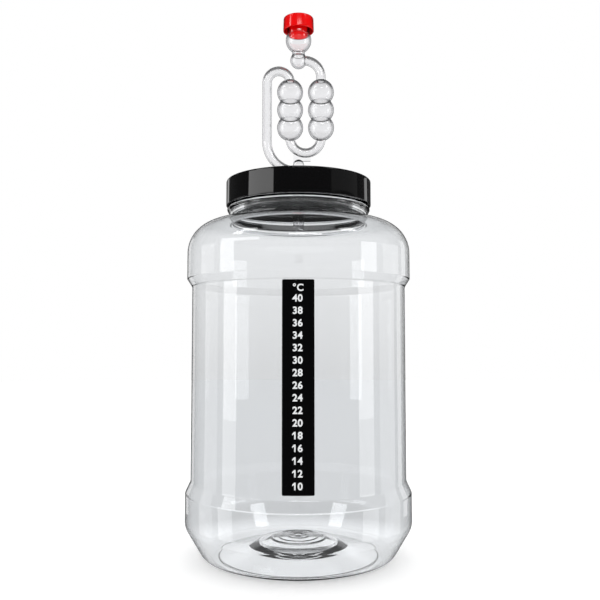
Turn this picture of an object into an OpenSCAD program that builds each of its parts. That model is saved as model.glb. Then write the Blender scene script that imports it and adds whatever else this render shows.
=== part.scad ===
// Five litre fermentation jar with a screw lid, a six-bulb airlock and a stick-on
// thermometer strip. Millimetres, +Z up, origin on the floor under the jar's centre.
// The strip and the flat side of the airlock face -Y.

/* [Jar] */
// Height of the rim above the floor
jar_h = 276; // [250:1:300]
// Radius of the two belly rings
belly_r = 83.6; // [76:0.2:92]
// How far the waist lies behind them
waist_in = 3.8; // [2:0.1:6]
// Wall of the blown body
jar_wall = 1.2; // [0.8:0.1:2]
// Height at which the side turns into the sloping heel
heel_h = 24.1; // [20:0.5:29]
// How far the heel runs in
heel_in = 12.6; // [10:0.2:15]
// Round between side and heel
heel_r = 12; // [6:0.5:14]
// Height of the heel's lower end
toe_h = 2.9; // [2:0.1:4.4]
// Width of the slope between heel and floor
toe_w = 8.4; // [7:0.2:10]
// Round between heel and that slope
toe_r = 7; // [4:0.5:9]
// Height of the lower belly ring's top edge
lower_ring_h = 47.4; // [40:0.5:56]
// Height of the slope between lower ring and waist
lower_step_h = 8.2; // [5:0.2:11]
// Height of the slope between waist and upper ring
upper_step_h = 6; // [4:0.5:9]
// Height of the upper belly ring with the shoulder
upper_ring_h = 43.3; // [36:0.5:52]
// Radius of the shoulder round
shoulder_r = 24; // [16:1:26]

/* [Base] */
// Width of the ring that the jar stands on
foot_w = 4.6; // [3.4:0.2:6]
// Step at its inner edge
foot_step = 0.6; // [0.4:0.1:1]
// Width of the gentle slope inside it
slope_w = 27.4; // [22:0.2:30]
// Height of the base at the end of that slope
slope_z = 6.6; // [5:0.2:8]
// Width of the steeper ramp
ramp_w = 10.5; // [7:0.5:13]
// Height at the end of the ramp
ramp_z = 10.2; // [9:0.2:11.4]
// Height at the centre
dome_z = 11.9; // [11.5:0.1:14]

/* [Neck] */
// Height of the neck above the shoulder
neck_h = 28.7; // [25:0.1:34]
// Wall of the neck
neck_wall = 2.2; // [1.8:0.1:2.6]
// Space for the thread between neck and lid
thread_gap = 1.8; // [1.4:0.1:2.2]
// Radius of the bead's round section
bead_r = 1.7; // [1.2:0.1:1.9]
// How far the bead stands proud of the neck
bead_proud = 3; // [2.4:0.1:3.4]
// Height of the cone under the bead
bead_cone_h = 6.3; // [4.5:0.1:6.8]
// Gap between the bead and the lid
bead_gap = 1.2; // [0.8:0.1:2]

/* [Lid] */
// Outer radius
lid_r = 55; // [49:0.1:58]
// Height of the skirt
lid_h = 19; // [16:0.5:21]
// Wall of the skirt
lid_wall = 2; // [1.4:0.1:2.6]
// Thickness of the top
lid_top = 2; // [1.6:0.1:3]
// Round along the top edge
lid_edge_r = 1.2; // [0.6:0.1:1.6]
// Wall of the rib that centres the lid in the neck
rib_wall = 1.2; // [0.8:0.1:1.6]
// Depth of that rib below the top
rib_depth = 4.2; // [3:0.1:6]
// Gap between the rib and the neck's bore
rib_gap = 0.5; // [0.4:0.1:0.8]
// Thickness of the seal between rim and lid
seal_t = 1.2; // [0.8:0.1:2]

/* [Grommet] */
// Wall of the grommet around the stem
bush_wall = 2; // [1.4:0.1:3]
// How far its flanges reach past the hole in the lid
flange_w = 2.4; // [2:0.1:3.5]
// Thickness of the upper flange
flange_top_t = 1.8; // [1.2:0.1:3]
// Thickness of the lower flange
flange_low_t = 1.6; // [1.2:0.1:3]
// Chamfer round the flanges
flange_cut = 0.9; // [0.5:0.1:1.1]

/* [Airlock] */
// Wall of tube, bulbs and stem
airlock_wall = 1; // [0.8:0.1:1.2]
// Outer radius of the stem
stem_r = 4.2; // [3.8:0.1:4.8]
// Length of the stem below the lid's top
stem_below = 34.6; // [28:0.2:40]
// Slant of the stem's mouth, in degrees
mouth_slant = 20; // [10:1:30]
// Height of the cross in the stem's mouth
cross_h = 5; // [3:0.5:8]
// Thickness of its two webs
cross_wall = 0.8; // [0.6:0.1:1.2]
// Height of the side inlet above the lid's top
inlet_rise = 9; // [8:0.2:12]
// Gap between the stem's dome and the lower bend
dome_gap = 1.5; // [1:0.1:2.4]
// Thickness of the web that joins them
web_wall = 1.6; // [1.2:0.1:2]
// Reach of the web to the right of the stem's axis
web_reach = 9.2; // [7:0.2:11]
// How far the web hangs below the bend
web_drop = 2.8; // [2:0.1:4]
// Outer radius of the bent tube
tube_r = 3.6; // [3.2:0.1:4]
// Distance of the long tube from the stem
long_tube_x = 24.3; // [22:0.1:27]
// Straight run between the stem and the bend at the tube's foot
foot_run = 1.3; // [0.8:0.1:3]
// Height of the lowest bulbs above the side inlet
bulb_rise = 33.9; // [31:0.1:38]
// Outer radius of a bulb
bulb_r = 10; // [9:0.1:11]
// Distance between the bulbs of a column
bulb_pitch = 14; // [12:0.1:16]
// Bulbs in each column
bulbs = 3; // [2:1:4]
// Gap between the two columns
column_gap = 3.8; // [3:0.1:6]
// Gap between the long tube and the left column
tube_gap = 4.2; // [3:0.1:6]
// How deep the straight end of a tube reaches into a bulb
tube_dip = 2.2; // [1.8:0.1:3]
// Level run between the small bulb's centre and its bend
s_level = 4.4; // [3:0.1:6]
// Straight rise from the right column to that bend
s_rise = 4.5; // [3:0.1:8]
// Outer radius of the small bulb
small_r = 6.4; // [5.8:0.1:7.2]
// Outer radius of the throat between small bulb and cup
throat_r = 4.9; // [4.4:0.1:5.4]
// Height of the throat that shows
throat_h = 3.2; // [2:0.1:5]
// Outer radius of the cup
cup_r = 9.9; // [9.2:0.1:10.8]
// How far the cup's rim is drawn in
rim_in = 1; // [0.8:0.1:1.4]
// Height of the rim above the cup's middle
rim_rise = 15.9; // [13:0.1:18]

/* [Cap] */
// Length of the skirt below the top
cap_h = 10.2; // [8:0.1:11]
// Wall of the skirt and of the top
cap_wall = 1.3; // [1:0.1:1.6]
// Gap between the skirt and the cup's rim
cap_gap = 1.7; // [1:0.1:2.2]
// Round along the top edge
cap_edge_r = 0.8; // [0.4:0.1:1]
// Length of the inner sleeve below the top
sleeve_h = 13.2; // [11.4:0.2:20]
// Wall of the sleeve
sleeve_wall = 1; // [0.8:0.1:1.4]
// Radius of each vent hole
vent_r = 0.7; // [0.5:0.1:1]
// Vent holes in the top
vents = 4; // [2:1:6]

/* [Thermometer strip] */
// Width along the jar
strip_w = 21; // [16:0.5:26]
// Distance of its lower end from the slope below it
strip_low = 2.9; // [0.5:0.2:20]
// Distance of its upper end from the slope above it
strip_high = 0.5; // [0.3:0.1:20]
// Thickness
strip_t = 0.3; // [0.2:0.05:0.5]
// Layer of glue behind it
glue_t = 0.06; // [0.04:0.02:0.1]

/* [Fits] */
// Clearance between faces that slide or turn
fit = 0.1; // [0.06:0.02:0.2]
// Clearance between loose neighbours
loose = 0.3; // [0.2:0.05:0.4]

/* [Hidden] */
$fn = 96;
// Longer than anything in the model
far = 2 * jar_h;

// Heights and radii of the jar
waist_r = belly_r - waist_in;
waist_z = lower_ring_h + lower_step_h;
shoulder_z = jar_h - neck_h;
upper_ring_z = shoulder_z - upper_ring_h;
waist_h = upper_ring_z - upper_step_h - waist_z;
neck_r = lid_r - lid_wall - thread_gap;
neck_in_r = neck_r - neck_wall;
// Lean of the heel from upright and of the slope below it from level
heel_lean = atan2(heel_in, heel_h - toe_h);
toe_lean = atan2(toe_h, toe_w);
toe_x = belly_r - heel_in - toe_r * (cos(toe_lean) - sin(heel_lean)) / cos(heel_lean + toe_lean);
toe_z = toe_h + toe_r * (cos(heel_lean) - sin(toe_lean)) / cos(heel_lean + toe_lean);
heel_z = heel_h + heel_r * tan(heel_lean / 2);
foot_r = belly_r - heel_in - toe_w;
foot_in_r = foot_r - foot_w;
slope_r = foot_in_r - slope_w;
ramp_r = slope_r - ramp_w;

// Lid and grommet
lid_in_z = jar_h + seal_t;
lid_top_z = lid_in_z + lid_top;
skirt_z = lid_top_z - lid_h;
bead_z = skirt_z - bead_gap - bead_r;
bead_out = bead_proud - bead_r;
bead_lean = atan2(bead_out, bead_cone_h) + asin(bead_r / norm([bead_out, bead_cone_h]));
rib_r = neck_in_r - rib_gap;
hole_r = stem_r + fit + bush_wall + fit;
flange_r = hole_r + flange_w;

// Airlock, from the stem's mouth upwards
stem_z = lid_top_z - stem_below;
inlet_z = lid_top_z + inlet_rise;
foot_bend_r = long_tube_x - foot_run;
head_bend_r = (tube_r + tube_gap + bulb_r) / 2;
low_bend_r = bulb_r + column_gap / 2;
left_x = -long_tube_x + 2 * head_bend_r;
right_x = left_x + 2 * low_bend_r;
bulb_z = inlet_z + bulb_rise;
low_bend_z = bulb_z - bulb_r + tube_dip;
web_z = low_bend_z - low_bend_r - tube_r - web_drop;
stem_head_z = low_bend_z - low_bend_r - tube_r - dome_gap - stem_r;
head_bend_z = bulb_z + (bulbs - 1) * bulb_pitch + bulb_r - tube_dip;
s_bend_r = right_x - s_level;
small_z = head_bend_z + s_rise + s_bend_r;
cup_z = small_z + sqrt(small_r * small_r - throat_r * throat_r) + throat_h
    + sqrt(cup_r * cup_r - throat_r * throat_r);
rim_r = cup_r - rim_in;
rim_z = cup_z + rim_rise;

// Cap
cup_bore_r = rim_r - airlock_wall;
sleeve_r = cup_bore_r - fit;
cap_r = rim_r + cap_gap + cap_wall;
cap_z = rim_z + fit + cap_wall;

// Jar

module jar_outline(t) {
    // Half section of the jar below its neck, drawn in by t
    square([belly_r - shoulder_r, shoulder_z - t]);
    translate([belly_r - heel_r, heel_z]) circle(heel_r - t);
    translate([toe_x, toe_z]) circle(toe_r - t);
    toe = [toe_x + (toe_r - t) * sin(toe_lean), toe_z - (toe_r - t) * cos(toe_lean)];
    polygon([[0, 0], [toe.x - toe.y / tan(toe_lean), 0], toe,
        [toe_x + (toe_r - t) * cos(heel_lean), toe_z - (toe_r - t) * sin(heel_lean)],
        [belly_r - heel_r + (heel_r - t) * cos(heel_lean), heel_z - (heel_r - t) * sin(heel_lean)],
        [belly_r - t, heel_z], [belly_r - t, lower_ring_h],
        [waist_r - t, waist_z], [waist_r - t, waist_z + waist_h],
        [belly_r - t, upper_ring_z], [belly_r - t, shoulder_z - shoulder_r],
        [0, shoulder_z - shoulder_r]]);
    intersection() {
        translate([belly_r - shoulder_r, shoulder_z - shoulder_r]) circle(shoulder_r - t);
        translate([0, shoulder_z - shoulder_r]) square([belly_r, shoulder_r]);
    }
}

module push_up(t) {
    // Half section of the space under the pushed-up base, raised by t
    polygon([[0, 0], [foot_in_r + 2 * t, 0], [foot_in_r, foot_step + t],
        [slope_r, slope_z + t], [ramp_r, ramp_z + t], [0, dome_z + t]]);
}

module neck_bead() {
    // Bead with a flat top and a cone under it
    translate([neck_r + bead_out, bead_z]) circle(bead_r);
    translate([neck_in_r, bead_z]) square([neck_r + bead_out - neck_in_r, bead_r]);
    polygon([[neck_in_r, bead_z], [neck_in_r, bead_z - bead_cone_h], [neck_r, bead_z - bead_cone_h],
        [neck_r + bead_out + bead_r * cos(bead_lean), bead_z - bead_r * sin(bead_lean)],
        [neck_r + bead_out, bead_z]]);
}

module jar_body() {
    color([0.85, 0.88, 0.9, 0.35])
    rotate_extrude() {
        difference() {
            union() {
                intersection() {
                    jar_outline(0);
                    square([belly_r, shoulder_z]);
                }
                translate([0, shoulder_z - jar_wall]) square([neck_r, neck_h + jar_wall]);
                neck_bead();
            }
            difference() {
                intersection() {
                    jar_outline(jar_wall);
                    translate([0, jar_wall]) square([belly_r, shoulder_z]);
                }
                push_up(jar_wall);
            }
            translate([0, shoulder_z - 2 * jar_wall]) square([neck_in_r, far]);
            push_up(0);
        }
    }
}

module thermometer_strip() {
    // A thin bent plate on the waist
    half_angle = strip_w / waist_r * 90 / PI;
    color([0.03, 0.03, 0.03])
    translate([0, 0, waist_z + strip_low])
    rotate([0, 0, -90 - half_angle])
    rotate_extrude(angle = 2 * half_angle)
        translate([waist_r + glue_t, 0]) square([strip_t, waist_h - strip_low - strip_high]);
}

// Lid

module lid_seal() {
    color([0.9, 0.9, 0.88])
    translate([0, 0, jar_h])
    difference() {
        cylinder(h = seal_t, r = lid_r - lid_wall - loose);
        cylinder(h = far, r = rib_r + loose, center = true);
    }
}

module lid_shell() {
    color([0.05, 0.05, 0.055])
    rotate_extrude() {
        difference() {
            union() {
                translate([0, skirt_z]) square([lid_r, lid_h - lid_edge_r]);
                translate([0, skirt_z]) square([lid_r - lid_edge_r, lid_h]);
                translate([lid_r - lid_edge_r, lid_top_z - lid_edge_r]) circle(lid_edge_r);
            }
            difference() {
                square([lid_r - lid_wall, lid_in_z]);
                translate([rib_r - rib_wall, lid_in_z - rib_depth]) square([rib_wall, rib_depth]);
            }
            square([hole_r, far]);
        }
    }
}

module lid_grommet() {
    color([0.13, 0.13, 0.13])
    difference() {
        union() {
            translate([0, 0, lid_in_z - fit])
                cylinder(h = lid_top + 2 * fit, r = hole_r - fit);
            translate([0, 0, lid_top_z + fit])
                cylinder(h = flange_top_t, r1 = flange_r, r2 = flange_r - flange_cut);
            translate([0, 0, lid_in_z - fit - flange_low_t])
                cylinder(h = flange_low_t, r1 = flange_r - flange_cut, r2 = flange_r);
        }
        cylinder(h = far, r = stem_r + fit);
    }
}

// Airlock

module bend(x, z, bend_r, r, from, sweep) {
    // Part of a ring in the XZ plane, swept from an angle above +X
    translate([x, 0, z])
    rotate([90, 0, 0])
    rotate_extrude(angle = sweep, start = from)
        translate([bend_r, 0]) circle(r);
}

module airlock_path(t) {
    // Everything that the gas passes, drawn in by t
    r = tube_r - t;
    // Stem, and the long tube at the left with its bends
    translate([0, 0, stem_z]) cylinder(h = inlet_z - stem_z, r = stem_r - t);
    translate([-foot_run, 0, inlet_z]) rotate([0, 90, 0]) cylinder(h = foot_run, r = r);
    bend(-foot_run, inlet_z + foot_bend_r, foot_bend_r, r, 180, 90);
    translate([-long_tube_x, 0, inlet_z + foot_bend_r])
        cylinder(h = head_bend_z - inlet_z - foot_bend_r, r = r);
    bend(-long_tube_x + head_bend_r, head_bend_z, head_bend_r, r, 0, 180);
    // The two columns of bulbs and the bend that joins them
    for (x = [left_x, right_x])
        for (i = [0 : bulbs - 1])
            translate([x, 0, bulb_z + i * bulb_pitch]) sphere(bulb_r - t);
    bend(left_x + low_bend_r, low_bend_z, low_bend_r, r, 180, 180);
    // From the right column over to the small bulb on the axis, and up to the cup
    translate([right_x, 0, head_bend_z]) cylinder(h = s_rise, r = r);
    bend(s_level, small_z - s_bend_r, s_bend_r, r, 0, 90);
    translate([0, 0, small_z]) rotate([0, 90, 0]) cylinder(h = s_level, r = r);
    translate([0, 0, small_z]) sphere(small_r - t);
    translate([0, 0, small_z]) cylinder(h = cup_z - small_z, r = throat_r - t);
    translate([0, 0, cup_z]) sphere(cup_r - t);
}

module mouth_cross() {
    // Two webs in the stem's mouth, which break up drops
    translate([-stem_r, -cross_wall / 2, stem_z]) cube([2 * stem_r, cross_wall, cross_h]);
    translate([-cross_wall / 2, -stem_r, stem_z]) cube([cross_wall, 2 * stem_r, cross_h]);
}

module airlock() {
    difference() {
        union() {
            airlock_path(0);
            // The stem's blind head, a dome, with the web that carries the lower bend
            translate([0, 0, inlet_z]) cylinder(h = stem_head_z - inlet_z, r = stem_r);
            translate([0, 0, stem_head_z]) sphere(stem_r);
            translate([-stem_r, -web_wall / 2, stem_head_z])
                cube([stem_r, web_wall, low_bend_z - low_bend_r - stem_head_z]);
            translate([-stem_r, -web_wall / 2, web_z])
                cube([stem_r + web_reach, web_wall, low_bend_z - low_bend_r - web_z]);
            translate([0, 0, cup_z]) cylinder(h = rim_rise, r = rim_r);
        }
        difference() {
            airlock_path(airlock_wall);
            mouth_cross();
        }
        translate([0, 0, cup_z]) cylinder(h = far, r = cup_bore_r);
        translate([0, 0, stem_z]) rotate([0, mouth_slant, 0])
            translate([0, 0, -stem_r]) cube([4 * stem_r, 4 * stem_r, 2 * stem_r], center = true);
    }
}

module airlock_front_shell() {
    color([0.88, 0.9, 0.92, 0.4])
    intersection() {
        airlock();
        translate([-far / 2, -far, 0]) cube([far, far, far]);
    }
}

module airlock_rear_shell() {
    color([0.88, 0.9, 0.92, 0.4])
    intersection() {
        airlock();
        translate([-far / 2, 0, 0]) cube([far, far, far]);
    }
}

module airlock_cap() {
    color([0.8, 0.02, 0.03])
    difference() {
        rotate_extrude() {
            translate([0, cap_z - cap_wall]) square([cap_r - cap_edge_r, cap_wall]);
            translate([cap_r - cap_edge_r, cap_z - cap_edge_r]) circle(cap_edge_r);
            translate([cap_r - cap_wall, cap_z - cap_h]) square([cap_wall, cap_h - cap_edge_r]);
            translate([sleeve_r - sleeve_wall, cap_z - sleeve_h])
                square([sleeve_wall, sleeve_h - cap_wall / 2]);
        }
        for (i = [0 : vents - 1])
            rotate([0, 0, i * 360 / vents])
            translate([sleeve_r / 2, 0, cap_z - 2 * cap_wall]) cylinder(h = 3 * cap_wall, r = vent_r);
    }
}

jar_body();
thermometer_strip();
lid_seal();
lid_shell();
lid_grommet();
airlock_front_shell();
airlock_rear_shell();
airlock_cap();
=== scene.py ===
import math

import bpy
from bpy.props import FloatProperty, FloatVectorProperty, IntProperty, PointerProperty
from bpy.types import NodeSocket, Operator, Panel, PropertyGroup
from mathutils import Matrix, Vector


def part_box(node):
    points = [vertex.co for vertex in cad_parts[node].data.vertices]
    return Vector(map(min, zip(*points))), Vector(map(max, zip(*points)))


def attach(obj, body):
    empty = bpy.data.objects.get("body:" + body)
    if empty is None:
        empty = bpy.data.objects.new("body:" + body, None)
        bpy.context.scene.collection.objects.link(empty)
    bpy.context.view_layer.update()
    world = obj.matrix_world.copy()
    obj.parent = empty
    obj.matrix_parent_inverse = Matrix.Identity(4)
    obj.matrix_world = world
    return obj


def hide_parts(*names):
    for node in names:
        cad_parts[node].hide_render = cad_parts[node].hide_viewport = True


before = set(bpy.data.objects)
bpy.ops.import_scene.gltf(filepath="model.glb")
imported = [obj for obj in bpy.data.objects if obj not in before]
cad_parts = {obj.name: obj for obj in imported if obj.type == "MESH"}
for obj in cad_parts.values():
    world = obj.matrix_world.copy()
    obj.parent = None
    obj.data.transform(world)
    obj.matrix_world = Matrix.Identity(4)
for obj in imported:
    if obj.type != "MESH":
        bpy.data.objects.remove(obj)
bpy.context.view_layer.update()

bl_info = {
    "name": "Fermentation Jar with Airlock",
    "version": (1, 0, 0),
    "blender": (4, 5, 0),
    "location": "View3D > Sidebar > Jar",
    "description": "Clear wide-mouth jar with a screw lid, a six-bulb airlock "
                   "and a thermometer strip",
    "category": "Add Mesh",
}

MM = 0.001

# Camera: place in metres, tilt in degrees and lens in millimetres
CAMERA_PLACE = (0.00114, -0.5548, 0.1528)
CAMERA_TILT = 93.75
CAMERA_LENS = 43.94

# Soft boxes: name; azimuth in degrees from the camera's side, the viewer's left negative;
# distance from the jar's axis, lower edge, upper edge and width in metres; radiance
LAMPS = (
    ("left_strip", -73.4, 1.3, -0.35, 0.66, 0.39, 1.9),
    ("left_panel", -51.5, 1.3, 0.47, 0.66, 0.62, 1.9),
    ("left_top", -58.0, 1.3, 1.18, 1.5, 0.45, 4.0),
    ("right_strip", 72.4, 1.3, -0.35, 0.45, 0.44, 1.7),
    ("right_panel", 77.0, 1.3, 0.5, 0.68, 1.26, 0.1),
    ("right_top", 58.0, 1.3, 1.18, 1.5, 0.45, 4.0),
    ("front_panel", 7.0, 4.0, 1.95, 2.45, 2.4, 6.5),
    ("left_cap", -66.0, 1.3, 0.88, 1.12, 0.25, 6.0),
    ("left_side", -101.0, 1.3, -0.35, 0.45, 0.5, 0.8),
    ("right_side", 104.0, 1.3, -0.35, 0.45, 0.62, 0.8),
    ("left_rim", -146.0, 1.3, -0.25, 0.6, 0.25, 0.7),
    ("right_rim", 130.0, 1.3, -0.25, 0.6, 0.25, 0.8),
)
# Seen through the clear walls, these would show as sparks or as bright doors
LAMPS_KEPT_OUT = ("left_cap", "front_panel", "left_side", "right_side", "left_rim", "right_rim")


def top(node):
    """Highest corner of a node of the frame, in metres."""
    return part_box(node)[1]


def colour(text):
    """Linear RGBA from an sRGB hex value."""
    parts = [int(text[i:i + 2], 16) / 255 for i in (1, 3, 5)]
    return tuple(c / 12.92 if c <= 0.04045 else ((c + 0.055) / 1.055) ** 2.4 for c in parts) + (1,)


def length(name, description, millimetres):
    """A size that the user can change, held in metres."""
    return FloatProperty(name=name, description=description, default=millimetres * MM,
                         min=0, unit="LENGTH", precision=5)


def tint(name, description, text):
    """A colour that the user can change."""
    return FloatVectorProperty(name=name, description=description, default=colour(text),
                               size=4, min=0, max=1, subtype="COLOR")


class JarSizes(PropertyGroup):
    """Sizes and colours of the jar, its lid and its airlock."""

    belly: length("Belly radius", "Outer radius of the two belly rings", 83.6)
    waist_in: length("Waist depth", "How far the waist lies behind the rings", 3.8)
    wall: length("Wall", "Wall of the blown body", 1.2)
    neck: length("Neck radius", "Outer radius of the neck", 51.2)
    neck_wall: length("Neck wall", "Wall of the neck", 2.2)
    thread_lead: length("Thread lead", "Rise of the thread in one turn", 5.08)
    thread_turns: FloatProperty(name="Thread turns", description="Turns of the thread on the neck",
                                default=1.25, min=0.5, max=2)
    lid_wall: length("Lid wall", "Wall of the lid's skirt", 2.0)
    tube: length("Tube radius", "Outer radius of the airlock's bent tube", 3.6)
    bulb: length("Bulb radius", "Outer radius of a bulb", 10.0)
    airlock_wall: length("Airlock wall", "Wall of tube, bulbs and stem", 1.0)
    facets: IntProperty(name="Facets", description="Facets round the jar", default=192,
                        min=48, max=256)
    clear: tint("Clear body", "Tint of the jar's clear wall", "#f4f5f6")
    styrene: tint("Clear airlock", "Tint of the airlock's clear wall", "#f6f6f7")
    black: tint("Lid", "Colour of the moulded lid", "#050506")
    red: tint("Cap", "Colour of the airlock's cap", "#e40305")
    film: tint("Strip", "Colour of the strip's film", "#030304")
    print: tint("Numerals", "Colour of the printed numerals", "#e9ebec")


# Meshes

def bare():
    """Leave edit mode and let nothing be selected."""
    if bpy.context.object and bpy.context.object.mode != "OBJECT":
        bpy.ops.object.mode_set(mode="OBJECT")
    bpy.ops.object.select_all(action="DESELECT")


def pick(piece):
    """Make a piece the only selected object, and the active one."""
    bare()
    piece.select_set(True)
    bpy.context.view_layer.objects.active = piece
    return piece


def name_it(name):
    """Name the active object and its mesh."""
    piece = bpy.context.object
    piece.name = piece.data.name = name
    return piece


def close_up(piece, holes=False):
    """Merge doubles, fill any open end and turn all faces outwards."""
    pick(piece)
    bpy.ops.object.mode_set(mode="EDIT")
    bpy.ops.mesh.select_all(action="SELECT")
    bpy.ops.mesh.remove_doubles(threshold=1e-6)
    if holes:
        bpy.ops.mesh.fill_holes(sides=0)
        bpy.ops.mesh.select_all(action="SELECT")
    bpy.ops.mesh.normals_make_consistent(inside=False)
    bpy.ops.object.mode_set(mode="OBJECT")
    return piece


def rounded(corners, closed=False):
    """Points of a half section. Each corner is (radius, height, round), in millimetres."""
    points = []
    count = len(corners)
    for i, (x, z, cut) in enumerate(corners):
        here = Vector((x, z))
        if not cut or (not closed and i in (0, count - 1)):
            points.append(here)
            continue
        back = Vector(corners[i - 1][:2]) - here
        on = Vector(corners[(i + 1) % count][:2]) - here
        half = back.angle(on) / 2
        reach = min(cut / math.tan(half), 0.48 * back.length, 0.48 * on.length)
        cut = reach * math.tan(half)
        centre = here + (back.normalized() + on.normalized()).normalized() * cut / math.sin(half)
        first = here + back.normalized() * reach - centre
        last = here + on.normalized() * reach - centre
        sweep = first.angle_signed(last)
        steps = max(2, round(abs(math.degrees(sweep)) / 6))
        for k in range(steps + 1):
            turn = -sweep * k / steps
            points.append(centre + Vector((
                first.x * math.cos(turn) - first.y * math.sin(turn),
                first.x * math.sin(turn) + first.y * math.cos(turn))))
    return points


def arc(x, z, radius, start, end, steps):
    """Corners along an arc, between two angles in degrees above +X."""
    return [(x + radius * math.cos(math.radians(start + (end - start) * k / steps)),
             z + radius * math.sin(math.radians(start + (end - start) * k / steps)), 0)
            for k in range(steps + 1)]


def draw(name, points, closed):
    """Pull one corner point along a half section in the XZ plane."""
    bare()
    bpy.ops.mesh.primitive_plane_add(size=MM, location=(0, 0, 0), enter_editmode=True)
    bpy.ops.mesh.merge(type="CENTER")
    spots = [Vector((p[0], 0, p[1])) * MM for p in points]
    if closed:
        spots.append(spots[0])
    bpy.ops.transform.translate(value=spots[0])
    for a, b in zip(spots, spots[1:]):
        bpy.ops.mesh.extrude_region_move(TRANSFORM_OT_translate={"value": b - a})
    bpy.ops.mesh.select_all(action="SELECT")
    bpy.ops.mesh.remove_doubles(threshold=1e-7)
    bpy.ops.object.mode_set(mode="OBJECT")
    return name_it(name)


def revolve(piece, facets, turns=1.0, lead=0.0):
    """Turn a half section round Z with a Screw modifier."""
    pick(piece)
    screw = piece.modifiers.new("Revolve", "SCREW")
    screw.axis = "Z"
    screw.angle = math.tau * turns
    screw.screw_offset = lead * turns
    screw.steps = screw.render_steps = max(3, round(facets * turns))
    screw.use_merge_vertices = turns == 1.0
    screw.merge_threshold = 1e-7
    bpy.ops.object.modifier_apply(modifier=screw.name)
    return piece


def lathe(name, corners, facets, closed=False):
    """A solid of revolution from the corners of its half section."""
    piece = draw(name, rounded(corners, closed), closed)
    return close_up(revolve(piece, facets))


def shift(piece, x=0.0, y=0.0, z=0.0):
    """Move a whole mesh, in millimetres."""
    pick(piece)
    bpy.ops.transform.translate(value=(x * MM, y * MM, z * MM))
    bpy.ops.object.transform_apply(location=True, rotation=True, scale=True)
    return piece


def plate(name, points, thick):
    """A flat plate in the XZ plane, as thick along Y as given in millimetres."""
    piece = shift(draw(name, [Vector(p) for p in points], True), y=-thick / 2)
    bpy.ops.object.mode_set(mode="EDIT")
    bpy.ops.mesh.select_all(action="SELECT")
    bpy.ops.mesh.edge_face_add()
    bpy.ops.mesh.extrude_region_move(TRANSFORM_OT_translate={"value": (0, thick * MM, 0)})
    bpy.ops.object.mode_set(mode="OBJECT")
    return close_up(piece)


def pipe(name, at, level, radius, moves, sides=72):
    """A round bar from a circle at (x, z), pulled along runs (x, z) and turns (x, z, degrees)."""
    bare()
    bpy.ops.mesh.primitive_circle_add(
        vertices=sides, radius=radius * MM, location=(at[0] * MM, 0, at[1] * MM),
        rotation=(0, math.pi / 2 if level else 0, 0))
    piece = name_it(name)
    bpy.ops.object.transform_apply(location=True, rotation=True, scale=True)
    bpy.ops.object.mode_set(mode="EDIT")
    bpy.ops.mesh.select_all(action="SELECT")
    for move in moves:
        if len(move) == 2:
            bpy.ops.mesh.extrude_region_move(
                TRANSFORM_OT_translate={"value": (move[0] * MM, 0, move[1] * MM)})
        else:
            bpy.ops.mesh.spin(steps=max(4, round(abs(move[2]) / 3)), angle=math.radians(move[2]),
                              center=(move[0] * MM, 0, move[1] * MM), axis=(0, 1, 0),
                              use_auto_merge=False)
    bpy.ops.object.mode_set(mode="OBJECT")
    return close_up(piece, holes=True)


def combine(piece, others, operation):
    """Join solids to a piece, or cut them out of it."""
    for other in others:
        pick(piece)
        cut = piece.modifiers.new("Join", "BOOLEAN")
        cut.operation = operation
        cut.solver = "EXACT"
        cut.object = other
        bpy.ops.object.modifier_apply(modifier=cut.name)
        bpy.data.objects.remove(other, do_unlink=True)
    return piece


def twin(piece, name):
    """A copy with its own mesh."""
    pick(piece)
    bpy.ops.object.duplicate(linked=False)
    return name_it(name)


def smooth(piece, degrees=32):
    """Smooth faces that meet at less than an angle."""
    pick(piece)
    bpy.ops.object.shade_smooth_by_angle(angle=math.radians(degrees))
    return piece


def ridge(name, corners, turns, lead, facets, sink):
    """One thread ridge, whose two ends run out into the wall by sink millimetres."""
    piece = draw(name, rounded(corners, True), True)
    revolve(piece, facets, turns, lead)
    slack = 0.1 * MM
    low = min(z for _, z, _ in corners) * MM - slack
    high = max(z for _, z, _ in corners) * MM + slack
    run_out = 7 * MM
    for end in (0, 1):
        angle = math.tau * turns * end
        side = Vector((math.cos(angle), math.sin(angle), 0))
        along = Vector((-math.sin(angle), math.cos(angle), 0)) * (1 if end else -1)
        pick(piece)
        bpy.ops.object.mode_set(mode="EDIT")
        bpy.ops.mesh.select_all(action="DESELECT")
        bpy.ops.object.mode_set(mode="OBJECT")
        rise = lead * turns * end
        for v in piece.data.vertices:
            flat = Vector((v.co.x, v.co.y, 0))
            at_end = (flat.normalized() - side).length < 1e-4
            v.select = at_end and low < v.co.z - rise < high
        for e in piece.data.edges:
            e.select = all(piece.data.vertices[i].select for i in e.vertices)
        for f in piece.data.polygons:
            f.select = False
        bpy.ops.object.mode_set(mode="EDIT")
        bpy.ops.mesh.extrude_region_move(
            TRANSFORM_OT_translate={"value": along * run_out - side * sink * MM})
        bpy.ops.object.mode_set(mode="OBJECT")
    return close_up(piece, holes=True)


# Materials

def add(tree, kind, inputs=None, **settings):
    """Add a node, set its own settings, and set or link its inputs."""
    made = tree.nodes.new(kind)
    for key, value in settings.items():
        setattr(made, key, value)
    for key, value in (inputs or {}).items():
        if isinstance(value, NodeSocket):
            tree.links.new(value, made.inputs[key])
        else:
            made.inputs[key].default_value = value
    return made


def surface(name, **sockets):
    """A material with one Principled shader, whose constants sit on its own sockets."""
    made = bpy.data.materials.new(name)
    made.use_nodes = True
    tree = made.node_tree
    shader = tree.nodes["Principled BSDF"]
    for key, value in sockets.items():
        shader.inputs[key.replace("_", " ")].default_value = value
    return made, tree, shader


def place(tree):
    """Object coordinates, in metres."""
    return add(tree, "ShaderNodeTexCoord").outputs["Object"]


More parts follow.
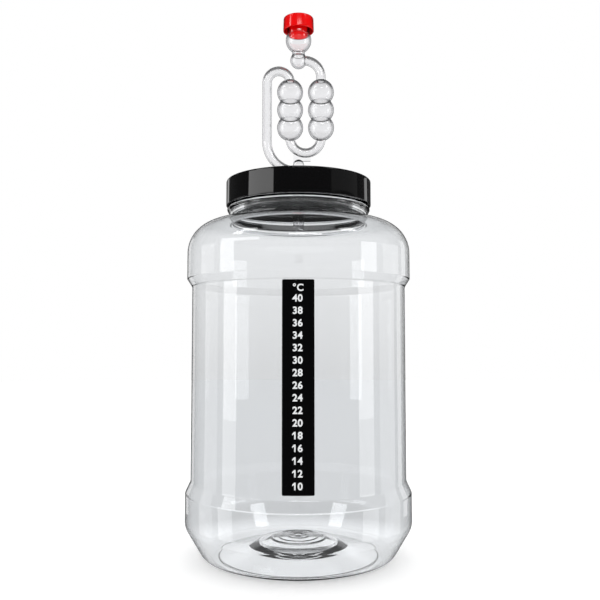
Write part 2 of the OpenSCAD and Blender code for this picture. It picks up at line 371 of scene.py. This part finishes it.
def noise(tree, spot, millimetres, detail=2.0):
    """Noise whose spots are about so many millimetres apart."""
    return add(tree, "ShaderNodeTexNoise", {
        "Vector": spot, "Scale": 1000 / millimetres, "Detail": detail}).outputs["Fac"]


def spread(tree, value, low, high, start=0.3, end=0.7):
    """Map a pattern to a range."""
    return add(tree, "ShaderNodeMapRange", {
        "Value": value, "From Min": start, "From Max": end,
        "To Min": low, "To Max": high}).outputs["Result"]


def blend(tree, factor, first, second):
    """Mix two colours."""
    return add(tree, "ShaderNodeMix", {"Factor": factor, 6: first, 7: second},
               data_type="RGBA").outputs[2]


def dimmed(shade, share):
    """A share of a colour."""
    return tuple(c * share for c in shade[:3]) + (1,)


def from_axis(tree, spot):
    """Distance from the jar's axis, in metres."""
    flat = add(tree, "ShaderNodeVectorMath", {0: spot, 1: (1, 1, 0)},
               operation="MULTIPLY").outputs["Vector"]
    return add(tree, "ShaderNodeVectorMath", {0: flat}, operation="LENGTH").outputs["Value"]


def relief(tree, shader, height, metres, strength=1.0):
    """Bump the shader by a pattern whose full height is so many metres."""
    bump = add(tree, "ShaderNodeBump", {
        "Height": height, "Distance": metres, "Strength": strength})
    tree.links.new(bump.outputs["Normal"], shader.inputs["Normal"])


def painted_edge_shade(tree, shader, pale, dark, start, end):
    """Painted shade: darken the clear plastic's tint towards its edges, where the eye looks along
    the wall, to draw the dark outline a clear wall shows there.
    """
    turned = add(tree, "ShaderNodeLayerWeight", {"Blend": 0.5}).outputs["Facing"]
    mixed = blend(tree, spread(tree, turned, 0.0, 1.0, start, end), pale, dark)
    tree.links.new(mixed, shader.inputs["Base Color"])


def pass_lamps(tree, shader, share):
    """Let lamps shine through a clear wall, so that its shadow stays as pale as it really is."""
    shadow = add(tree, "ShaderNodeLightPath").outputs["Is Shadow Ray"]
    gap = add(tree, "ShaderNodeBsdfTransparent", {"Color": (share, share, share, 1)})
    both = add(tree, "ShaderNodeMixShader", {
        0: shadow, 1: shader.outputs["BSDF"], 2: gap.outputs["BSDF"]})
    tree.links.new(both.outputs["Shader"], tree.nodes["Material Output"].inputs["Surface"])


def blown_pet(sizes):
    """Clear PET, blow moulded: glass clear, with the slow waves that the cold mould leaves."""
    made, tree, shader = surface("blown_clear_PET", IOR=1.575, Transmission_Weight=1.0)
    spot = place(tree)
    # Painted shade: the clear tint darkens to grey towards the jar's edges
    painted_edge_shade(tree, shader, sizes.clear, colour("#85888c"), 0.82, 0.94)
    relief(tree, shader, noise(tree, spot, 28, 1.0), 0.0001, 0.4)
    tree.links.new(spread(tree, noise(tree, spot, 3.5, 4.0), 0.002, 0.02),
                   shader.inputs["Roughness"])
    pass_lamps(tree, shader, 0.9)
    return made


def moulded_styrene(sizes):
    """Clear styrene, injection moulded in halves: hard gloss with a trace of uneven haze."""
    made, tree, shader = surface("moulded_clear_styrene", IOR=1.59, Transmission_Weight=1.0)
    spot = place(tree)
    # Painted shade: the clear tint darkens to grey towards the airlock's edges
    painted_edge_shade(tree, shader, sizes.styrene, colour("#5c5d62"), 0.36, 0.8)
    tree.links.new(spread(tree, noise(tree, spot, 2.5, 3.0), 0.002, 0.015),
                   shader.inputs["Roughness"])
    pass_lamps(tree, shader, 0.9)
    return made


def gloss_polypropylene(sizes):
    """Black PP, injection moulded in a polished tool: deep gloss with faint flow waves."""
    made, tree, shader = surface("gloss_black_polypropylene", Base_Color=sizes.black, IOR=1.49,
                                 Coat_Roughness=0.03)
    spot = place(tree)
    relief(tree, shader, noise(tree, spot, 9, 2.0), 0.000006, 0.4)
    # Only the outside of the tool is polished: the core leaves the inside of the lid dull
    level = add(tree, "ShaderNodeSeparateXYZ", {"Vector": spot}).outputs["Z"]
    high, out = top("lid_shell").z, top("lid_shell").x
    outer = add(tree, "ShaderNodeMath", {
        0: spread(tree, from_axis(tree, spot), 0.0, 1.0, out - 0.0014, out - 0.0012),
        1: spread(tree, level, 0.0, 1.0, high - 0.0012, high - 0.001)},
        operation="MAXIMUM").outputs[0]
    coat = add(tree, "ShaderNodeMath", {0: outer, 1: 0.5}, operation="MULTIPLY").outputs[0]
    tree.links.new(coat, shader.inputs["Coat Weight"])
    gloss = add(tree, "ShaderNodeMath", {0: outer, 1: 0.45, 2: 0.05},
                operation="MULTIPLY_ADD").outputs[0]
    tree.links.new(gloss, shader.inputs["Specular IOR Level"])
    dull = spread(tree, outer, 0.6, 0.0, 0.0, 1.0)
    fine = add(tree, "ShaderNodeMath", {
        0: spread(tree, noise(tree, spot, 1.6, 5.0), 0.03, 0.07), 1: dull},
        operation="ADD").outputs[0]
    tree.links.new(fine, shader.inputs["Roughness"])
    return made


def red_polyethylene(sizes):
    """Red PE, injection moulded: softer gloss than the lid; it lets a little light in, and a
    painted glow adds more.
    """
    made, tree, shader = surface("moulded_red_polyethylene", IOR=1.5,
                                 Subsurface_Weight=0.05, Subsurface_Scale=0.001)
    spot = place(tree)
    patch = noise(tree, spot, 6, 3.0)
    mixed = blend(tree, spread(tree, patch, 0.0, 1.0), sizes.red, dimmed(sizes.red, 0.86))
    # Painted shade: looked at along its wall, the red darkens towards the cap's edges
    turned = add(tree, "ShaderNodeLayerWeight", {"Blend": 0.5}).outputs["Facing"]
    edge_shaded_red = blend(tree, spread(tree, turned, 0.0, 1.0, 0.45, 0.8), mixed, colour("#8a0002"))
    tree.links.new(edge_shaded_red, shader.inputs["Base Color"])
    tree.links.new(edge_shaded_red, shader.inputs["Emission Color"])
    # Painted light: the whole cap glows faintly, and the thin sleeve inside glows more than the
    # skirt
    tree.links.new(spread(tree, from_axis(tree, spot), 0.5, 0.08, 0.0079, 0.0092),
                   shader.inputs["Emission Strength"])
    relief(tree, shader, noise(tree, spot, 1.2, 3.0), 0.00001, 0.4)
    tree.links.new(spread(tree, patch, 0.1, 0.16), shader.inputs["Roughness"])
    return made


def strip_film(sizes):
    """Black ink under clear polyester film: flat and even, with a few fine handling marks."""
    made, tree, shader = surface("black_film_under_polyester", IOR=1.45,
                                 Base_Color=sizes.film)
    spot = place(tree)
    tree.links.new(spread(tree, noise(tree, spot, 2.2, 4.0), 0.08, 0.14),
                   shader.inputs["Roughness"])
    relief(tree, shader, noise(tree, spot, 5, 2.0), 0.000004, 0.2)
    return made


def printed_ink(sizes):
    """Screen-printed grey-white ink: matt, with an uneven layer."""
    made, tree, shader = surface("screen_printed_ink", IOR=1.45, Roughness=0.5)
    spot = place(tree)
    layer = noise(tree, spot, 0.7, 3.0)
    mixed = blend(tree, spread(tree, layer, 0.0, 1.0), sizes.print, dimmed(sizes.print, 0.9))
    tree.links.new(mixed, shader.inputs["Base Color"])
    return made


def grommet_rubber():
    """Black rubber, compression moulded: matt, with a fine bloom."""
    made, tree, shader = surface("moulded_black_rubber", IOR=1.5, Roughness=0.6)
    spot = place(tree)
    bloom = noise(tree, spot, 0.8, 4.0)
    mixed = blend(tree, spread(tree, bloom, 0.0, 1.0), colour("#1b1b1c"), colour("#262627"))
    tree.links.new(mixed, shader.inputs["Base Color"])
    relief(tree, shader, bloom, 0.00003, 0.5)
    return made


def seal_silicone():
    """White silicone sheet, die cut: matt and slightly waxy."""
    made, tree, shader = surface("cut_white_silicone", IOR=1.41, Roughness=0.55,
                                 Subsurface_Weight=0.2, Subsurface_Scale=0.001)
    spot = place(tree)
    cloud = noise(tree, spot, 4, 3.0)
    mixed = blend(tree, spread(tree, cloud, 0.0, 1.0), colour("#e4e3df"), colour("#d9d8d3"))
    tree.links.new(mixed, shader.inputs["Base Color"])
    relief(tree, shader, cloud, 0.00002, 0.4)
    return made


def finish_piece(piece, material, body, slot, *nodes):
    """Give a piece its material and its body, and hide the nodes it stands for. The slot is not
    used.
    """
    piece.data.materials.clear()
    piece.data.materials.append(material)
    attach(piece, body)
    if nodes:
        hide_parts(*nodes)
    return piece


# Operators

class JAR_OT_stage(Operator):
    """Floor, white surround, soft boxes and the camera"""
    bl_idname = "fermenter.stage"
    bl_label = "Stage"

    def place_camera(self, context):
        """The one camera, at eye height of the jar's middle."""
        bare()
        bpy.ops.object.camera_add(location=CAMERA_PLACE,
                                  rotation=(math.radians(CAMERA_TILT), 0, 0))
        camera = context.object
        camera.data.lens = CAMERA_LENS
        context.scene.camera = camera

    def light_world(self, context):
        """A white surround, whose level hangs on the kind of ray that meets it."""
        world = bpy.data.worlds.new("Studio")
        context.scene.world = world
        world.use_nodes = True
        world.cycles.sampling_method = "NONE"
        tree = world.node_tree
        ray = add(tree, "ShaderNodeLightPath").outputs
        way = add(tree, "ShaderNodeTexCoord").outputs["Generated"]
        rise = add(tree, "ShaderNodeSeparateXYZ", {"Vector": way}).outputs["Z"]

        def choose(flag, no, yes):
            return add(tree, "ShaderNodeMix", {"Factor": flag, 2: no, 3: yes},
                       data_type="FLOAT").outputs[0]

        # Through the clear walls the surround is white up to 24 degrees and dusky overhead
        seen = add(tree, "ShaderNodeMath", {
            0: spread(tree, rise, 0.86, 1.03, -0.03, 0.14),
            1: spread(tree, rise, 1.0, 0.2, 0.407, 0.56)}, operation="MULTIPLY").outputs[0]
        level = choose(ray["Is Glossy Ray"], 0.8, 0.05)
        level = choose(ray["Is Transmission Ray"], level, seen)
        lit = add(tree, "ShaderNodeMath", {0: ray["Diffuse Depth"], 1: 0.5},
                  operation="GREATER_THAN").outputs[0]
        level = choose(lit, level, 1.12)
        level = choose(ray["Is Camera Ray"], level, 1.0)
        tree.links.new(level, tree.nodes["Background"].inputs["Strength"])
        tree.nodes["Background"].inputs["Color"].default_value = (1, 1, 1, 1)

    def lay_floor(self):
        """A pale round table top, a little dimmer through the clear walls."""
        bare()
        bpy.ops.mesh.primitive_circle_add(vertices=96, radius=3.0, fill_type="NGON",
                                          location=(0, 0, -0.0001))
        floor = name_it("floor")
        bpy.ops.object.transform_apply(location=True, rotation=True, scale=True)
        made, tree, shader = surface("pale_floor", Roughness=0.5, Specular_IOR_Level=0.0)
        ray = add(tree, "ShaderNodeLightPath").outputs
        through = ray["Is Transmission Ray"]
        tree.links.new(blend(tree, through, colour("#fcfcfc"), colour("#e3e4e5")),
                       shader.inputs["Base Color"])
        lit = add(tree, "ShaderNodeMath", {0: ray["Diffuse Depth"], 1: 0.5},
                  operation="LESS_THAN").outputs[0]
        glow = add(tree, "ShaderNodeMapRange", {
            "Value": through, "To Min": 0.14, "To Max": 0.0}).outputs[0]
        glow = add(tree, "ShaderNodeMath", {0: glow, 1: lit}, operation="MULTIPLY").outputs[0]
        # Painted light: a pool of light on the table beneath the blown base, seen only through the
        # clear walls
        away = add(tree, "ShaderNodeVectorMath", {0: place(tree)},
                   operation="LENGTH").outputs["Value"]
        painted_light_pool = add(tree, "ShaderNodeMath", {
            0: spread(tree, away, 0.8, 0.0, 0.055, 0.13), 1: through},
            operation="MULTIPLY").outputs[0]
        glow = add(tree, "ShaderNodeMath", {0: glow, 1: painted_light_pool}, operation="ADD").outputs[0]
        shader.inputs["Emission Color"].default_value = (1, 1, 1, 1)
        tree.links.new(glow, shader.inputs["Emission Strength"])
        floor.data.materials.append(made)
        # The soft boxes reach below the table top, and the gloss shows them there too
        floor.visible_glossy = False

    def hang_lamps(self, context):
        """The soft boxes, each facing the jar's axis."""
        for name, azimuth, away, low, high, width, radiance in LAMPS:
            turn = math.radians(azimuth)
            bare()
            bpy.ops.object.light_add(
                type="AREA", rotation=(math.pi / 2, 0, turn),
                location=(math.sin(turn) * away, -math.cos(turn) * away, (low + high) / 2))
            lamp = context.object
            lamp.name = name
            lamp.data.shape = "RECTANGLE"
            lamp.data.size = width
            lamp.data.size_y = high - low
            lamp.data.energy = radiance * math.pi * width * (high - low)
            lamp.visible_camera = False
            # The surround alone lights matt surfaces, so the floor stays even to its edge
            lamp.visible_diffuse = False
            lamp.visible_transmission = name not in LAMPS_KEPT_OUT

    def execute(self, context):
        context.scene.view_settings.view_transform = "Standard"
        self.place_camera(context)
        self.light_world(context)
        self.lay_floor()
        self.hang_lamps(context)
        return {"FINISHED"}


class JAR_OT_body(Operator):
    """Blown jar with its pushed-up base, two belly rings, bead and neck thread"""
    bl_idname = "fermenter.body"
    bl_label = "Jar body"

    def execute(self, context):
        s = context.scene.fermenter
        belly, wall, neck = s.belly / MM, s.wall / MM, s.neck / MM
        waist = belly - s.waist_in / MM
        bore = neck - s.neck_wall / MM
        rim = top("jar_body").z / MM
        shoulder = 24.0
        shoulder_z = rim - 28.7
        heel = 24.1
        # Edge and slope of the lower ring, then slope and edge of the upper ring
        ring, waist_low, waist_high, upper = 47.4, 55.6, 198, 204
        outside = (
            [(0, 11.3, 0), (2.4, 11.3, 0.3), (2.8, 11.8, 0.3), (20.05, 10.2, 1.5),
             (30.55, 6.6, 1.5), (57.95, 0.6, 0.4), (57.95, 0, 0.25), (belly - 21.0, 0, 0.8),
             (belly - 12.6, 2.9, 7.0), (belly, heel, 12.0), (belly, ring, 2.0),
             (waist, waist_low, 4.0), (waist, waist_high, 4.0), (belly, upper, 1.0)]
            + arc(belly - shoulder, shoulder_z - shoulder, shoulder, 0, 90, 30)
            + [(neck - 0.2, shoulder_z, 2.0), (neck - 0.25, 251.0, 1.0)]
            + arc(neck + 1.35, 257.3, 1.65, -30, 90, 14)
            + [(neck, 258.95, 0.5), (neck, rim, 0.5)])
        inside = (
            [(bore, rim, 0.5), (bore, 251.3, 0.8), (neck - 1.15, 249.8, 0.8),
             (neck - 1.15, shoulder_z - wall, 3.0)]
            + arc(belly - shoulder, shoulder_z - shoulder, shoulder - wall, 90, 0, 30)
            + [(belly - wall, upper, 1.5), (waist - wall, waist_high, 3.0),
               (waist - wall, waist_low, 4.0), (belly - wall, ring, 2.5),
               (belly - wall, heel + 0.33, 11.0),
               (belly - 13.4, 3.89, 2.5), (belly - 21.2, wall, 0.8), (59.2, wall, 0.5),
               (57.95, 1.8, 0.6), (36.6, 6.6, 0.8), (28.6, 11.4, 1.2), (20.6, 12.7, 0.8),
               (19.6, 13.4, 0.3), (18.6, 13.4, 0.3), (18.0, 13.0, 0.3), (14.7, 13.1, 0.3),
               (14.1, 13.6, 0.2), (13.3, 13.6, 0.2), (12.7, 13.2, 0.3), (7.7, 13.5, 0.3),
               (7.1, 14.1, 0.2), (6.4, 14.1, 0.2), (5.8, 13.7, 0.3), (2.9, 13.9, 0.3),
               (2.3, 14.7, 0.3), (0, 14.8, 0)])
        jar = lathe("jar", outside + inside, s.facets)
        thread = ridge("neck_thread", [
            (neck - 0.3, 264.0, 0), (neck + 0.1, 264.0, 0.2), (neck + 1.3, 264.7, 0.3),
            (neck + 1.3, 265.7, 0.3), (neck + 0.1, 266.4, 0.2), (neck - 0.3, 266.4, 0)],
            s.thread_turns, s.thread_lead, 96, 2.0)
        combine(jar, [thread], "UNION")
        smooth(jar)
        finish_piece(jar, blown_pet(s), "jar", "clear_pet", "jar_body")
        return {"FINISHED"}


class JAR_OT_lid(Operator):
    """Screw lid with its inner thread and the rib that centres it"""
    bl_idname = "fermenter.lid"
    bl_label = "Lid"

    def execute(self, context):
        s = context.scene.fermenter
        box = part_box("lid_shell")
        out, low, high = box[1].x / MM, box[0].z / MM, box[1].z / MM
        bore = out - s.lid_wall / MM
        under = high - 2
        rib = 48.5
        lid = lathe("lid", [
            (6.4, high, 0.3), (out, high, 1.2), (out, low, 0.5), (bore, low, 0.5),
            (bore, under, 0.6), (rib, under, 0.4), (rib, under - 4.2, 0.3),
            (rib - 1.2, under - 4.2, 0.3), (rib - 1.2, under, 0.4), (6.4, under, 0.3)],
            s.facets, closed=True)
        thread = ridge("lid_thread", [
            (bore + 0.3, 261.5, 0), (bore - 0.1, 261.5, 0.2), (bore - 1.3, 262.2, 0.3),
            (bore - 1.3, 263.1, 0.3), (bore - 0.1, 263.8, 0.2), (bore + 0.3, 263.8, 0)],
            s.thread_turns, s.thread_lead, 96, -0.95)
        combine(lid, [thread], "UNION")
        smooth(lid)
        finish_piece(lid, gloss_polypropylene(s), "lid", "lid_black", "lid_shell")
        return {"FINISHED"}


class JAR_OT_seal(Operator):
    """Seal ring under the lid, and the grommet in the lid's hole"""
    bl_idname = "fermenter.seal"
    bl_label = "Seal and grommet"

    def execute(self, context):
        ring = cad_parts["lid_seal"]
        white = seal_silicone()
        for held in ring.material_slots:
            held.material = white
        if not ring.material_slots:
            raise RuntimeError("the seal has no material slot")
        grommet = lathe("grommet", [
            (4.3, 275.5, 0.3), (7.9, 275.5, 0.4), (8.8, 277.1, 0.25), (6.3, 277.1, 0.2),
            (6.3, 279.3, 0.2), (8.8, 279.3, 0.25), (7.9, 281.1, 0.5), (4.3, 281.1, 0.4)],
            96, closed=True)
        smooth(grommet)
        finish_piece(grommet, grommet_rubber(), "grommet", "grommet_rubber", "lid_grommet")
        return {"FINISHED"}


class JAR_OT_airlock(Operator):
    """Clear airlock: stem, long tube, six bulbs, bends, small bulb and cup in one wall"""
    bl_idname = "fermenter.airlock"
    bl_label = "Airlock"

    # Height of the branch from stem to tube, and the stem's radius, foot and dome
    INLET = 288.2
    STEM, STEM_FOOT, STEM_DOME = 4.2, 240, 293.1
    # Radii and heights of the small bulb, the throat and the cup
    SMALL, SMALL_Z = 6.4, 375.3
    THROAT = 4.9
    CUP, CUP_Z = 9.9, 391.2
    CUP_RIM = 407.1

    def gas_path(self, s, t, tag):
        """All that the gas passes, as one solid, drawn in by t millimetres."""
        tube, bulb = s.tube / MM - t, s.bulb / MM - t
        left, right = -6.5, 17.3
        first, pitch = 322.1, 14.0
        bend, foot, head = 314.3, 311.2, 357.9
        foot_x, head_x, over, lift = -1.3, -15.4, 4.4, 4.5
        # The bulbs run into each other through a fillet, larger inside than out
        fillet = 0.5 + 1.3 * t
        joint = math.degrees(math.asin(pitch / 2 / (bulb + fillet)))
        throat = math.sqrt((bulb + fillet) ** 2 - (pitch / 2) ** 2)
        column = [(0, first - bulb, 0)]
        for start, end, steps in ((-84, joint, 20), (-joint, joint, 14), (-joint, 84, 20)):
            if len(column) > 1:
                column += arc(throat, first - pitch / 2, fillet, 180 + joint, 180 - joint, 8)[1:-1]
            column += arc(0, first, bulb, start, end, steps)
            first += pitch
        column.append((0, first - pitch + bulb, 0))
        left_column = shift(lathe("left_" + tag, column, 96), x=left)
        right_column = shift(twin(left_column, "right_" + tag), x=right - left)
        loop = pipe("loop_" + tag, (0, self.INLET), True, tube, [
            (foot_x, 0), (foot_x, foot, -90), (0, head - foot), (head_x, head, -180)])
        low = pipe("low_" + tag, (left, bend), False, tube, [((left + right) / 2, bend, 180)])
        rise = pipe("rise_" + tag, (right, head), False, tube, [
            (0, lift), (over, head + lift, 90), (-over, 0)])
        return combine(left_column, [low, right_column, loop, rise], "UNION")

    def execute(self, context):
        s = context.scene.fermenter
        t = s.airlock_wall / MM
        solid = self.gas_path(s, 0, "wall")
        hollow = self.gas_path(s, t, "bore")
        stem = lathe("stem", [(0, self.STEM_FOOT, 0), (self.STEM, self.STEM_FOOT, 0)]
                     + arc(0, self.STEM_DOME, self.STEM, 0, 90, 16), 96)
        web = plate("web", [(-4.1, self.STEM_DOME), (0, self.STEM_DOME), (0, 296), (9.2, 296),
                            (9.2, 302.4), (-4.1, 302.4)], 1.6)
        bore = self.STEM - t
        stem_bore = lathe("stem_bore", [(0, self.STEM_FOOT - 5, 0), (bore, self.STEM_FOOT - 5, 0),
                                        (bore, self.INLET, 0.6), (0, self.INLET, 0)], 64)
        # A cross stands in the stem's mouth
        for arm in ((8.4, 0.8, 9), (0.8, 8.4, 9)):
            bare()
            bpy.ops.mesh.primitive_cube_add(size=MM, location=(0, 0, 245.1 * MM))
            context.object.scale = arm
            bpy.ops.object.transform_apply(location=True, rotation=True, scale=True)
            combine(stem_bore, [context.object], "DIFFERENCE")
        head = lathe("head", [(0, self.SMALL_Z - self.SMALL, 0)]
                     + arc(0, self.SMALL_Z, self.SMALL, -84, 40, 16)
                     + [(self.THROAT, 379.42, 0), (self.THROAT, 382.6, 0)]
                     + arc(0, self.CUP_Z, self.CUP, -60.3, 26, 16)
                     + [(8.9, 395.54, 0), (8.9, self.CUP_RIM, 0.35), (0, self.CUP_RIM, 0)], 96)
        small, cup = self.SMALL - t, self.CUP - t
        head_bore = lathe("head_bore", [(0, self.SMALL_Z - small, 0)]
                          + arc(0, self.SMALL_Z, small, -84, 43, 16)
                          + [(3.9, 379.0, 0), (3.9, 383.2, 0)]
                          + arc(0, self.CUP_Z, cup, -64, 27.4, 16)
                          + [(7.9, 395.3, 0), (7.9, self.CUP_RIM - 0.4, 0),
                             (8.25, self.CUP_RIM, 0), (8.25, 410, 0), (0, 410, 0)], 96)
        combine(solid, [stem, head, web], "UNION")
        combine(hollow, [stem_bore, head_bore], "UNION")
        combine(solid, [hollow], "DIFFERENCE")
        # The stem's mouth is cut at a slant
        bare()
        bpy.ops.mesh.primitive_cube_add(size=20 * MM, location=(0, 0, 0))
        slant = math.radians(20)
        block = context.object
        block.location = (-10 * MM * math.sin(slant), 0, 244.6 * MM - 10 * MM * math.cos(slant))
        block.rotation_euler = (0, slant, 0)
        bpy.ops.object.transform_apply(location=True, rotation=True, scale=True)
        combine(solid, [block], "DIFFERENCE")
        pick(solid)
        airlock = close_up(name_it("airlock"))
        smooth(airlock)
        finish_piece(airlock, moulded_styrene(s), "airlock", "clear_styrene",
                     "airlock_front_shell", "airlock_rear_shell")
        return {"FINISHED"}


class JAR_OT_cap(Operator):
    """Vented cap with a skirt outside the cup and a sleeve inside it"""
    bl_idname = "fermenter.cap"
    bl_label = "Cap"

    def execute(self, context):
        s = context.scene.fermenter
        high = top("airlock_cap").z / MM
        out = top("airlock_cap").x / MM
        wall = 1.3
        under, skirt, sleeve = high - wall, high - 10.2, high - 13.2
        cap = lathe("cap", [
            (0, high, 0), (out - 0.3, high, 0.8), (out, skirt, 0.6), (out - wall, skirt, 0.5),
            (out - 1.5, under, 0.3), (7.8, under, 0.2), (7.8, sleeve, 0.3), (6.8, sleeve, 0.3),
            (6.8, under, 0.3), (0, under, 0)], 128)
        vent_at = 3.9
        bare()
        bpy.ops.mesh.primitive_cylinder_add(vertices=24, radius=0.7 * MM, depth=6 * MM,
                                            location=(vent_at * MM, 0, (high - 0.6) * MM))
        bpy.ops.object.transform_apply(location=True, rotation=True, scale=True)
        vents = [name_it("vent")]
        for x, y in ((-vent_at, 0), (0, vent_at), (0, -vent_at)):
            vents.append(shift(twin(vents[0], "vent"), x=x - vent_at, y=y))
        combine(cap, vents, "DIFFERENCE")
        smooth(cap)
        finish_piece(cap, red_polyethylene(s), "cap", "cap_red", "airlock_cap")
        return {"FINISHED"}


class JAR_OT_strip(Operator):
    """Thermometer strip on the waist, with its printed numerals"""
    bl_idname = "fermenter.strip"
    bl_label = "Thermometer strip"

    def wrap(self, piece, radius, thick):
        """Lay a flat sheet on the round of the waist and give it its thickness."""
        bare()
        bpy.ops.mesh.primitive_cylinder_add(vertices=1440, radius=radius * MM, depth=0.2,
                                            end_fill_type="NOTHING", location=(0, 0, 0.127))
        form = bpy.context.object
        pick(piece)
        wrapped = piece.modifiers.new("Wrap", "SHRINKWRAP")
        wrapped.wrap_method = "PROJECT"
        wrapped.use_project_x = wrapped.use_project_z = False
        wrapped.use_project_y = True
        wrapped.use_positive_direction = True
        wrapped.use_negative_direction = False
        wrapped.target = form
        bpy.ops.object.modifier_apply(modifier=wrapped.name)
        bpy.data.objects.remove(form, do_unlink=True)
        pick(piece)
        body = piece.modifiers.new("Thickness", "SOLIDIFY")
        body.thickness = thick * MM
        body.offset = 1.0
        bpy.ops.object.modifier_apply(modifier=body.name)
        return piece

    def flag(self, label, left, high):
        """Give the figure one at the left of a label its flag."""
        bare()
        bpy.ops.mesh.primitive_plane_add(size=MM, location=(0, 0, 0))
        flag = bpy.context.object
        for vert, (x, y) in zip(flag.data.vertices, (
                (-1.25, -2.3), (0.1, -1.45), (-1.25, -1.45), (0.1, 0))):
            vert.co = (left + x * MM, high + y * MM, 0)
        flag.select_set(True)
        label.select_set(True)
        bpy.context.view_layer.objects.active = label
        bpy.ops.object.join()

    def execute(self, context):
        s = context.scene.fermenter
        waist = (s.belly - s.waist_in) / MM
        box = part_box("thermometer_strip")
        low, high = box[0].z / MM, box[1].z / MM
        width = 21.0
        bare()
        bpy.ops.mesh.primitive_plane_add(size=1, location=(0, -0.1, (low + high) / 2 * MM),
                                         rotation=(math.pi / 2, 0, 0))
        strip = name_it("strip")
        strip.scale = (width * MM, (high - low) * MM, 1)
        bpy.ops.object.transform_apply(location=True, rotation=True, scale=True)
        bpy.ops.object.mode_set(mode="EDIT")
        bpy.ops.mesh.select_all(action="SELECT")
        bpy.ops.mesh.bevel(offset=0.9 * MM, offset_type="OFFSET", segments=5, affect="VERTICES")
        for k in range(-10, 11):
            bpy.ops.mesh.select_all(action="SELECT")
            bpy.ops.mesh.bisect(plane_co=(k * MM, 0, 0), plane_no=(1, 0, 0))
        bpy.ops.object.mode_set(mode="OBJECT")
        self.wrap(strip, waist + 0.06, 0.3)
        close_up(strip)
        smooth(strip)
        finish_piece(strip, strip_film(s), "jar", "strip_film", "thermometer_strip")

        labels = []
        # Text, height of its middle, and how far it stands to the right of the others
        rows = [("°C", 192.3, 0.35)] + [
            (str(40 - 2 * k), 185.3 - 8.053 * k, 0.0) for k in range(16)]
        for text, height, over in rows:
            bare()
            bpy.ops.object.text_add(location=(0, 0, 0))
            label = context.object
            label.data.body = text
            label.data.size = 6.45 * MM
            label.data.offset = (0.16 if over else 0.2) * MM
            label.data.space_character = 1.06
            label.data.align_x = "CENTER"
            label.data.resolution_u = 6
            bpy.ops.object.convert(target="MESH")
            label = context.object
            low_edge = min(v.co.y for v in label.data.vertices)
            high_edge = max(v.co.y for v in label.data.vertices)
            if text.startswith("1"):
                self.flag(label, min(v.co.x for v in label.data.vertices), high_edge)
            label.location = ((-0.45 + over) * MM, -0.1,
                              height * MM - (low_edge + high_edge) / 2)
            label.rotation_euler = (math.pi / 2, 0, 0)
            bpy.ops.object.transform_apply(location=True, rotation=True, scale=True)
            labels.append(label)
        bare()
        for label in labels:
            label.select_set(True)
        context.view_layer.objects.active = labels[0]
        bpy.ops.object.join()
        numerals = name_it("numerals")
        bpy.ops.object.mode_set(mode="EDIT")
        for k in range(-4, 5):
            bpy.ops.mesh.select_all(action="SELECT")
            bpy.ops.mesh.bisect(plane_co=(k * MM, 0, 0), plane_no=(1, 0, 0))
        bpy.ops.object.mode_set(mode="OBJECT")
        self.wrap(numerals, waist + 0.37, 0.03)
        finish_piece(numerals, printed_ink(s), "jar", "strip_film")
        return {"FINISHED"}


class JAR_PT_panel(Panel):
    """Sizes, colours and the steps that build the jar"""
    bl_idname = "JAR_PT_panel"
    bl_label = "Fermentation Jar"
    bl_space_type = "VIEW_3D"
    bl_region_type = "UI"
    bl_category = "Jar"

    def draw(self, context):
        s = context.scene.fermenter
        for key in JarSizes.__annotations__:
            self.layout.prop(s, key)
        for step in STEPS:
            self.layout.operator(step.bl_idname)


STEPS = (JAR_OT_stage, JAR_OT_body, JAR_OT_lid, JAR_OT_seal, JAR_OT_airlock, JAR_OT_cap,
         JAR_OT_strip)
CLASSES = (JarSizes,) + STEPS + (JAR_PT_panel,)


def register():
    for each in CLASSES:
        bpy.utils.register_class(each)
    bpy.types.Scene.fermenter = PointerProperty(type=JarSizes)


def unregister():
    del bpy.types.Scene.fermenter
    for each in reversed(CLASSES):
        bpy.utils.unregister_class(each)


def main():
    register()
    for step in STEPS:
        group, call = step.bl_idname.split(".")
        getattr(getattr(bpy.ops, group), call)()
    bare()


if __name__ == "__main__":
    main()
